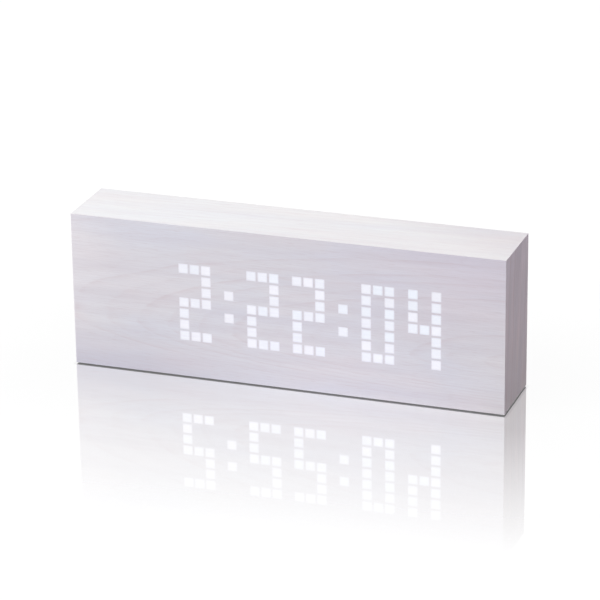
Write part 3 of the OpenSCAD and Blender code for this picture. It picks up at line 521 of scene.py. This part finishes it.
def battery_wrap(name):
    """Cells head to tail: a grey sleeve with a dark band near its button, and bare steel ends."""
    low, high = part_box("battery_cells")
    cells = 4
    button_height = 1.9 * MM
    sleeve_end = 43.6 * MM
    diameter = high.y - low.y
    pitch = (high.z - low.z - diameter) / (cells - 1)
    reach = (high.x - low.x) / 2
    graph = Graph(name)
    x, _, z = graph.axes()
    index = graph.calc("ROUND", graph.calc("DIVIDE", graph.calc("SUBTRACT", z, low.z + diameter / 2), pitch))
    way = graph.calc("SUBTRACT", graph.calc("MULTIPLY", graph.calc("MODULO", index, 2.0), 2.0), 1.0)
    place = graph.calc("MULTIPLY", graph.calc("SUBTRACT", x, (low.x + high.x) / 2), way)
    from_button = graph.calc("SUBTRACT", reach, place)
    band = graph.near(from_button, middle=8.5 * MM, half_width=2.2 * MM)
    line = graph.near(from_button, middle=12.4 * MM, half_width=0.3 * MM)
    bare = graph.calc("LESS_THAN", from_button, button_height)
    tail = graph.calc("GREATER_THAN", from_button, sleeve_end)
    scuff = graph.noise(1, (150, 1900, 1900), 3.0)
    sleeve = graph.blend(graph.calc("MAXIMUM", band, line), shade("868c93"), shade("34373c"))
    steel = graph.calc("MAXIMUM", bare, tail)
    colour = graph.blend(steel, sleeve, shade("c6c8ca"))
    graph.set(Base_Color=graph.blend(graph.spread(scuff, 0.0, 0.15, 0.5, 0.8), colour, shade("aeb2b6")))
    graph.set(Metallic=steel)
    graph.set(Roughness=graph.spread(scuff, 0.2, 0.36))
    graph.bump(scuff, 0.006 * MM)
    return graph.material


def capacitor_sleeve(name):
    """Blue shrink sleeve with a pale stripe down one side, and a bare rear end."""
    _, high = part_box("capacitors")
    stripe_width = 0.7 * MM
    bare_depth = 0.15 * MM
    graph = Graph(name)
    x, y, _ = graph.axes()
    stripe = graph.calc("GREATER_THAN", x, high.x - stripe_width)
    cap = graph.calc("GREATER_THAN", y, high.y - bare_depth)
    sleeve = graph.blend(stripe, shade("2b3f86"), shade("c9d0e4"))
    grain = graph.noise(2200)
    sleeve = graph.blend(graph.spread(grain, 0.0, 0.2), sleeve, shade("16224e"))
    graph.set(Base_Color=graph.blend(cap, sleeve, shade("c9ccd0")))
    graph.set(Metallic=cap)
    graph.set(Roughness=graph.spread(grain, 0.24, 0.4))
    graph.bump(grain, 0.008 * MM)
    return graph.material


def coin_steel(name):
    """Coin cell turned on its face: streaks that run in circles."""
    middle = middle_of("backup_cell")
    graph = Graph(name)
    x, _, z = graph.axes()
    radius = graph.distance(graph.calc("SUBTRACT", x, middle.x), graph.calc("SUBTRACT", z, middle.z))
    turned = graph.noise(1, (3600, 1, 1), 3.0, graph.join(radius, 0, 0))
    graph.set(Base_Color=graph.ramp(turned, (0.3, shade("a9acaf")), (0.7, shade("d9dbdd"))))
    graph.set(Metallic=1.0)
    graph.set(Roughness=graph.spread(turned, 0.22, 0.4))
    graph.bump(turned, 0.004 * MM)
    return graph.material


def dress(material, *names):
    """Gives CAD nodes their material."""
    for name in names:
        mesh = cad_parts[name].data
        mesh.materials.clear()
        mesh.materials.append(material)


def dress_case():
    """Wooden carcass, its veneer and its feet."""
    front_figure = Figure(end=150 * MM, middle=27 * MM, slope=0.19, ring=3.4 * MM)
    back_figure = Figure(end=-150 * MM, middle=52 * MM, slope=0.1, ring=3.8 * MM)
    strip_figure = Figure(end=400 * MM, middle=-120 * MM, slope=0.02, ring=4.2 * MM)
    dress(face_veneer("front_veneer_wood", front_figure), "front_veneer")
    dress(face_veneer("back_veneer_wood", back_figure), "back_veneer")
    dress(wrap_veneer("wrap_veneer_wood", strip_figure), "wrap_veneer")
    boards = [f"{side}_board" for side in ("front", "top", "bottom", "left", "right", "back")]
    dress(fibreboard("fibreboard"), *boards)
    dress(softwood("glue_block"), "corner_blocks")
    rubber = plastic("foot_rubber", "2b2b2e", roughness=0.8, grain_scale=2500, grain_depth=0.03)
    dress(rubber, "foot_pads", "mic_boot")


def dress_display():
    """Lit squares and the light box behind them."""
    digits = [f"{unit}_digits" for unit in ("hour", "minute", "second")]
    dress(lit_dots("lit_dots"), *digits, "colon_dots")
    sheet = plastic("diffuser", "eceef2", roughness=0.6, grain_scale=1800, grain_depth=0.01, tint=0.02)
    grid = plastic("baffle_plastic", "f0f0ee", roughness=0.7, grain_scale=2600, grain_depth=0.015, tint=0.03)
    dress(sheet, "diffuser_sheet")
    dress(grid, "light_baffle")
    dress(led_packages("led_package"), "leds")
    dress(chip_finish("led_driver", "led_drivers", body_height=7.6 * MM), "led_drivers")
    dress(plastic("header_plastic", "e4dfd0", roughness=0.5), "ribbon_headers")
    dress(ribbon("ribbon_grey"), "ribbon_cable")


def dress_rear():
    """Rear cover, battery bay and screws."""
    cover = plastic("cover_plastic", "2c2d30", roughness=0.56, grain_scale=3000, grain_depth=0.03)
    contact = metal("contact_steel", "d0d3d6", roughness=0.22, stretch=(1, 8, 8))
    red_sleeve = plastic("red_lead", "b03029", roughness=0.4, grain_scale=1600, grain_depth=0.02)
    black_sleeve = plastic("black_lead", "232326", roughness=0.4, grain_scale=1600, grain_depth=0.02)
    dress(cover, "rear_cover", "battery_box", "battery_door")
    dress(metal("screw_steel", "b4b7bb", roughness=0.34), "back_screws", "display_screws", "board_screws")
    dress(metal("dark_screw", "6b6d71", roughness=0.4), "cover_screws")
    dress(battery_wrap("battery_can"), "battery_cells")
    dress(contact, "battery_springs", "battery_contacts")
    dress(red_sleeve, "positive_lead")
    dress(black_sleeve, "negative_lead")


def dress_controls():
    """Control board and all that stands on it."""
    black = Finish(shade("2a2b2e"), 0.0, 0.5)
    felt = Finish(shade("202022"), 0.0, 0.95)
    switch = capped_finish("switch_plastic", "tact_switches", cap_depth=0.35 * MM, side=black, cap=STEEL)
    button = plastic("button_plastic", "5b5d63", roughness=0.62, grain_scale=2600, grain_depth=0.03)
    jack = plastic("jack_plastic", "1d1e20", roughness=0.35, grain_scale=2600, grain_depth=0.01)
    capsule = capped_finish("capsule_metal", "microphone", cap_depth=0.1 * MM, side=STEEL, cap=felt)
    dress(circuit_board("circuit_board"), "control_board", "led_board")
    dress(switch, "tact_switches")
    dress(button, *[f"{key}_button" for key in KEYS])
    dress(plastic("plunger_plastic", "e8e4da", roughness=0.45), *[f"{key}_plunger" for key in KEYS])
    dress(metal("switch_shell", "b4b7bb", roughness=0.36, stretch=(8, 1, 1)), "slide_switch")
    dress(plastic("knob_plastic", "e2e2df", roughness=0.5), "slide_knob")
    dress(jack, "power_jack", "buzzer", "backup_holder")
    dress(metal("pin_metal", "d6d8da", roughness=0.18, stretch=(6, 1, 6)), "jack_pin")
    dress(capsule, "microphone")
    dress(metal("crystal_can", "cfd1d4", roughness=0.24, stretch=(1, 6, 6)), "crystal")
    dress(chip_finish("controller_epoxy", "controller_chip", body_height=7.6 * MM), "controller_chip")
    dress(chip_finish("clock_epoxy", "clock_chip", body_height=4.1 * MM), "clock_chip")
    dress(coin_steel("coin_steel"), "backup_cell")
    dress(capacitor_sleeve("capacitor_sleeve"), "capacitors")


def soften(width, *names):
    """Rounds the sharp edges of moulded CAD nodes by a small width."""
    for name in names:
        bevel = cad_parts[name].modifiers.new("soft_edges", "BEVEL")
        bevel.width = width
        bevel.segments = 2
        bevel.limit_method = "ANGLE"
        bevel.angle_limit = math.radians(50)


# Marks on the rear, as thin raised prints in X and Z


def turns(start, stop, steps):
    """Angles in radians from start to stop, given in degrees."""
    return [math.radians(start + (stop - start) * i / steps) for i in range(steps + 1)]


def disc(x, z, radius, steps=32):
    """Outline of a disc."""
    return [[(x + radius * math.cos(a), z + radius * math.sin(a)) for a in turns(0, 360, steps)[:-1]]]


def arc(x, z, radius, width, start=0, stop=360, steps=32):
    """Ring or part of one, as four-sided pieces."""
    rim = []
    for angle in turns(start, stop, steps):
        reaches = (radius - width / 2, radius + width / 2)
        rim.append([(x + reach * math.cos(angle), z + reach * math.sin(angle)) for reach in reaches])
    return [[a[0], a[1], b[1], b[0]] for a, b in zip(rim, rim[1:])]


def bar(x, z, width, height):
    """Upright rectangle."""
    w, h = width / 2, height / 2
    return [[(x - w, z - h), (x + w, z - h), (x + w, z + h), (x - w, z + h)]]


def arrow(x, z, size, way=1):
    """Triangle that points up for +1 and down for -1."""
    base = z - way * size * 0.4
    tip = z + way * size * 0.45
    return [[(x - size / 2, base), (x + size / 2, base), (x, tip)]]


def clock_face(x, z, size):
    """Ring with two hands."""
    line = size * 0.1
    shapes = arc(x, z, size * 0.44, line)
    shapes += bar(x, z + size * 0.13, line, size * 0.3)
    shapes += bar(x - size * 0.11, z - size * 0.01, size * 0.22, line)
    return shapes


def bell(x, z, size):
    """Bell with a flared rim and a clapper."""
    dome = [(size * 0.26 * math.cos(a), size * 0.12 + size * 0.3 * math.sin(a)) for a in turns(0, 180, 16)]
    flare = [(-size * 0.28, -size * 0.1), (-size * 0.42, -size * 0.26), (size * 0.42, -size * 0.26),
             (size * 0.28, -size * 0.1)]
    shapes = [[(x + px, z + pz) for px, pz in dome + flare]]
    shapes += [[(x + size * 0.11 * math.cos(a), z - size * 0.31 + size * 0.11 * math.sin(a))
                for a in turns(180, 360, 10)]]
    return shapes


def polarity(x, z, size):
    """Sign of a barrel inlet: plus at the centre pin, minus at the sleeve."""
    line = size * 0.1
    reach = size * 1.15
    shapes = disc(x, z, size * 0.13) + arc(x, z, size * 0.36, line, 40, 320)
    shapes += bar(x + size * 0.42, z, size * 0.58, line) + bar(x - size * 0.6, z, size * 0.46, line)
    for side in (-1, 1):
        shapes += arc(x + side * reach, z, size * 0.32, line)
        shapes += bar(x + side * reach, z, size * 0.34, line)
    return shapes + bar(x + reach, z, line, size * 0.34)


def raised_print(name, body, shapes, face_y, height, material):
    """Thin piece that stands on a rear face, made of flat outlines."""
    sheet = bmesh.new()
    for outline in shapes:
        sheet.faces.new([sheet.verts.new((x, face_y, z)) for x, z in outline])
    bmesh.ops.remove_doubles(sheet, verts=sheet.verts, dist=0.001 * MM)
    raised = bmesh.ops.extrude_face_region(sheet, geom=sheet.faces[:])
    top = [v for v in raised["geom"] if isinstance(v, bmesh.types.BMVert)]
    bmesh.ops.translate(sheet, verts=top, vec=(0, height, 0))
    bmesh.ops.recalc_face_normals(sheet, faces=sheet.faces)
    mesh = bpy.data.meshes.new(name)
    sheet.to_mesh(mesh)
    sheet.free()
    mesh.materials.append(material)
    piece = bpy.data.objects.new(name, mesh)
    bpy.context.scene.collection.objects.link(piece)
    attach(piece, body)
    return piece


def raised_word(name, word, x, z, size, face_y, height, material):
    """Word in plain capitals that reads from behind the case."""
    curve = bpy.data.curves.new(name, "FONT")
    curve.body = word
    curve.size = size
    curve.align_x = "CENTER"
    curve.align_y = "CENTER"
    curve.extrude = height / 2
    source = bpy.data.objects.new(name + "_source", curve)
    bpy.context.scene.collection.objects.link(source)
    bpy.context.view_layer.update()
    shape = source.evaluated_get(bpy.context.evaluated_depsgraph_get())
    mesh = bpy.data.meshes.new_from_object(shape)
    bpy.data.objects.remove(source)
    facing_back = Matrix(((-1, 0, 0), (0, 0, 1), (0, 1, 0))).to_4x4()
    mesh.transform(Matrix.Translation((x, face_y + height / 2, z)) @ facing_back)
    mesh.materials.clear()
    mesh.materials.append(material)
    piece = bpy.data.objects.new(name, mesh)
    bpy.context.scene.collection.objects.link(piece)
    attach(piece, "case")


def add_key_marks(face, height, ink):
    """A sign above each key."""
    size = 4.2 * MM
    above_key = 7.5 * MM
    signs = (clock_face, arrow, functools.partial(arrow, way=-1), bell)
    for key, sign in zip(KEYS, signs):
        place = middle_of(f"{key}_button")
        raised_print(f"{key}_mark", "case", sign(place.x, place.z + above_key, size), face, height, ink)


def add_switch_marks(face, height, ink):
    """ON and OFF below the two ends of the switch."""
    size = 2.6 * MM
    beside = 3.6 * MM
    below = 4.6 * MM
    switch = middle_of("slide_switch")
    for word, side in (("ON", -1), ("OFF", 1)):
        x = switch.x + side * beside
        raised_word(f"switch_{word.lower()}_mark", word, x, switch.z - below, size, face, height, ink)


def add_inlet_mark(face, height, ink):
    """Polarity sign below the inlet."""
    size = 4 * MM
    below = 8.2 * MM
    inlet = middle_of("power_jack")
    raised_print("inlet_mark", "case", polarity(inlet.x, inlet.z - below, size), face, height, ink)


def add_door_marks(face, height, ink):
    """Arrow and grip ribs of the battery door."""
    arrow_size = 5 * MM
    arrow_above_grip = 9 * MM
    grip_above_edge = 4 * MM
    rib_count = 4
    rib_pitch = 1.5 * MM
    rib_length = 16 * MM
    rib_width = 0.7 * MM
    rib_height = 0.35 * MM
    rib_rounding = 0.12 * MM
    low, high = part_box("battery_door")
    middle = (low.x + high.x) / 2
    grip_low = low.z + grip_above_edge
    sign = arrow(middle, grip_low + arrow_above_grip, arrow_size, -1)
    raised_print("door_arrow", "door", sign, face, height, ink)
    ribs = []
    for i in range(rib_count):
        ribs += bar(middle, grip_low + i * rib_pitch, rib_length, rib_width)
    grip = raised_print("door_grip", "door", ribs, face, rib_height, bpy.data.materials["cover_plastic"])
    rounding = grip.modifiers.new("soft_edges", "BEVEL")
    rounding.width = rib_rounding
    rounding.segments = 2


def add_rear_marks():
    """Signs beside the keys, the switch and the inlet, and the grip of the battery door."""
    ink = plastic("mark_ink", "c9cacc", roughness=0.6, grain_scale=2200, grain_depth=0.004, tint=0.05)
    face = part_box("rear_cover")[1].y
    thin = 0.04 * MM
    for add_marks in (add_key_marks, add_switch_marks, add_inlet_mark, add_door_marks):
        add_marks(face, thin, ink)


# Stage: floor, light and camera


def rays_that_see_white(tree):
    """1 for rays that show the background: those from the camera, from gloss and through glass."""
    path = tree.nodes.new("ShaderNodeLightPath")
    total = path.outputs["Is Camera Ray"]
    for name in ("Is Glossy Ray", "Is Transmission Ray"):
        step = tree.nodes.new("ShaderNodeMath")
        step.operation = "MAXIMUM"
        tree.links.new(total, step.inputs[0])
        tree.links.new(path.outputs[name], step.inputs[1])
        total = step.outputs[0]
    return total


def distance_from_case(graph, x, y):
    """Distance on the floor from the outline of the case."""
    beyond = []
    for value, edge in ((x, cad_box[1].x), (y, cad_box[1].y)):
        outside = graph.calc("SUBTRACT", graph.calc("ABSOLUTE", value), edge)
        beyond.append(graph.calc("MAXIMUM", outside, 0.0))
    return graph.distance(*beyond)


def pool_colour(graph, x, y):
    """Colour of the floor as it lights the case: dark but for a pool that ends at the case's right end."""
    sides = [graph.calc("SUBTRACT", value, middle) for value, middle in zip((x, y), POOL_MIDDLE)]
    pool = graph.spread(graph.distance(*sides), 1.0, 0.0, POOL_NEAR, POOL_FAR)
    right_end = cad_box[1].x
    pool = graph.calc("MULTIPLY", pool, graph.spread(x, 1.0, 0.0, right_end - POOL_EDGE, right_end))
    return graph.ramp(pool, (0.0, POOL_DARK), (1.0, POOL_LIGHT))


def floor_white(name):
    """White that keeps the shadow and mirrors the case, less so further away from it and to the right."""
    graph = Graph(name)
    tree = graph.tree
    tree.nodes.remove(graph.shader)
    x, y, _ = graph.axes()
    seen = rays_that_see_white(tree)
    distance = distance_from_case(graph, x, y)
    contact = graph.spread(distance, CONTACT_SHADE, 1.0, 0.0, CONTACT_WIDTH)
    tone = graph.blend(seen, pool_colour(graph, x, y), grey(FLOOR_TONE))
    diffuse = graph.node("ShaderNodeBsdfDiffuse", {"Color": tone})
    glow_strength = graph.calc("MULTIPLY", graph.calc("MULTIPLY", seen, contact), FLOOR_GLOW)
    glow = graph.node("ShaderNodeEmission", {"Strength": glow_strength})
    white = graph.node("ShaderNodeAddShader", {0: diffuse.outputs[0], 1: glow.outputs[0]})
    mirror = graph.node("ShaderNodeBsdfGlossy", {"Roughness": MIRROR_ROUGHNESS, "Color": grey(MIRROR_TINT)})
    lean = graph.spread(x, 1.0, MIRROR_LEAN, MIRROR_LEAN_START, MIRROR_LEAN_STOP)
    fade = graph.spread(graph.calc("MULTIPLY", distance, lean), MIRROR_SHARE, 0.0, MIRROR_NEAR, MIRROR_FAR)
    share = graph.calc("MULTIPLY", fade, seen)
    mixed = graph.node("ShaderNodeMixShader", {0: share, 1: white.outputs[0], 2: mirror.outputs[0]})
    tree.links.new(mixed.outputs[0], tree.nodes["Material Output"].inputs["Surface"])
    return graph.material


def add_floor():
    """Wide sheet just below the foot pads."""
    half = 2.0
    gap = 0.02 * MM
    sheet = bmesh.new()
    bmesh.ops.create_grid(sheet, x_segments=4, y_segments=4, size=half)
    mesh = bpy.data.meshes.new("floor")
    sheet.to_mesh(mesh)
    sheet.free()
    mesh.materials.append(floor_white("floor_white"))
    floor = bpy.data.objects.new("floor", mesh)
    floor.location.z = cad_box[0].z - gap
    bpy.context.scene.collection.objects.link(floor)


def add_world():
    """White room to look at, and a weaker even light from it."""
    ambient = 0.25
    world = bpy.data.worlds.new("studio")
    bpy.context.scene.world = world
    world.use_nodes = True
    tree = world.node_tree
    seen = rays_that_see_white(tree)
    strength = tree.nodes.new("ShaderNodeMapRange")
    tree.links.new(seen, strength.inputs[0])
    strength.inputs[3].default_value = ambient
    strength.inputs[4].default_value = 1.0
    background = tree.nodes["Background"]
    background.inputs["Color"].default_value = (1.0, 1.0, 1.0, 1.0)
    tree.links.new(strength.outputs[0], background.inputs["Strength"])


def add_softbox(name, towards, strength, softness, colour):
    """Broad far light from one direction. Strength 1 lights a white sheet that faces it to white."""
    lamp = bpy.data.lights.new(name, "SUN")
    lamp.energy = strength * math.pi
    lamp.angle = math.radians(softness)
    lamp.color = colour
    holder = bpy.data.objects.new(name, lamp)
    holder.rotation_mode = "QUATERNION"
    holder.rotation_quaternion = Vector(towards).to_track_quat("Z", "Y")
    bpy.context.scene.collection.objects.link(holder)


def add_panel(name, place, target, size, power):
    """Square lamp close by, which lights the end it stands at more than the other."""
    lamp = bpy.data.lights.new(name, "AREA")
    lamp.shape = "SQUARE"
    lamp.size = size
    lamp.energy = power
    holder = bpy.data.objects.new(name, lamp)
    holder.location = place
    holder.rotation_mode = "QUATERNION"
    holder.rotation_quaternion = (Vector(place) - Vector(target)).to_track_quat("Z", "Y")
    bpy.context.scene.collection.objects.link(holder)


def add_light():
    """Key from the upper left front, a lamp near the left end, and a weak fill from behind the right end."""
    add_world()
    add_softbox("key_light", towards=(-0.41, -0.60, 0.65), strength=0.70, softness=60, colour=(1, 1, 1))
    add_softbox("fill_light", towards=(0.47, 0.78, 0.41), strength=0.52, softness=70, colour=(1, 0.97, 0.98))
    add_panel("left_light", place=(-0.5, -0.55, 0.4), target=(-0.05, 0.0, 0.04), size=0.4, power=2.65)


def add_camera():
    """Camera where the photograph was taken from."""
    azimuth, elevation, roll = (math.radians(a) for a in (CAMERA_AZIMUTH, CAMERA_ELEVATION, CAMERA_ROLL))
    flat = math.cos(elevation)
    back = Vector((math.sin(azimuth) * flat, -math.cos(azimuth) * flat, math.sin(elevation)))
    right = Vector((math.cos(azimuth), math.sin(azimuth), 0))
    up = back.cross(right)
    across = right * math.cos(roll) + up * math.sin(roll)
    upright = up * math.cos(roll) - right * math.sin(roll)
    camera = bpy.data.objects.new("camera", bpy.data.cameras.new("camera"))
    camera.data.lens = CAMERA_LENS
    camera.data.sensor_width = CAMERA_SENSOR
    camera.matrix_world = (Matrix.Translation(CAMERA_TARGET + back * CAMERA_DISTANCE)
                           @ Matrix((across, upright, back)).transposed().to_4x4())
    bpy.context.scene.collection.objects.link(camera)
    bpy.context.scene.camera = camera


dress_case()
dress_display()
dress_rear()
dress_controls()
soften(MOULDED_EDGE, "battery_door", "slide_knob", *[f"{key}_button" for key in KEYS])
add_rear_marks()
add_floor()
add_light()
add_camera()
bpy.context.scene.view_settings.view_transform = "Standard"
